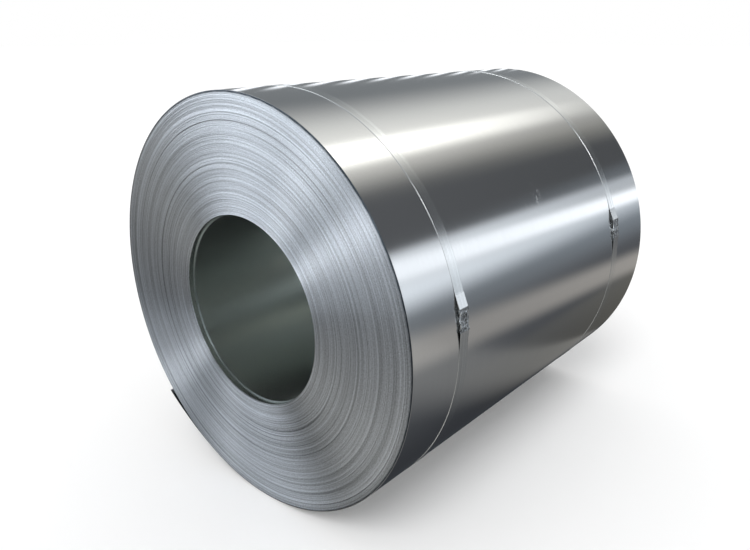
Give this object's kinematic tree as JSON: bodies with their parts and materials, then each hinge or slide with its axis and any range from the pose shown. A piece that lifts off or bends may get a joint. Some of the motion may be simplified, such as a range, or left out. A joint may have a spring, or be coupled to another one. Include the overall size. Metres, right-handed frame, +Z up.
{
  "type": "steel coil",
  "caption": "Coil of bright cold-rolled steel strip with an open bore, tied round with sealed steel straps and lying on its side, as raw stock for slitting or pressing.",
  "frame": {"origin": "on the floor under the middle of the coil, which lies on its two straps", "axes": "X runs along the coil's axis, with the end whose innermost turns are set back at -X and the plain end at +X. Z is up. The seals are on the -Y side, a little above the axis, and the end of the strip is low on the +Y side."},
  "size_m": [1.219, 1.1259, 1.1216],
  "materials": {
    "strip": "bright cold-rolled steel with fine rolling lines round the coil",
    "strap": "bare steel strapping, slightly dull",
    "seal": "bare pressed steel, crimped and scuffed"
  },
  "bodies": {
    "root": {"coil": "strip", "strap_front": "strap", "strap_rear": "strap", "seal_front": "seal", "seal_rear": "seal"}
  },
  "joints": []
}
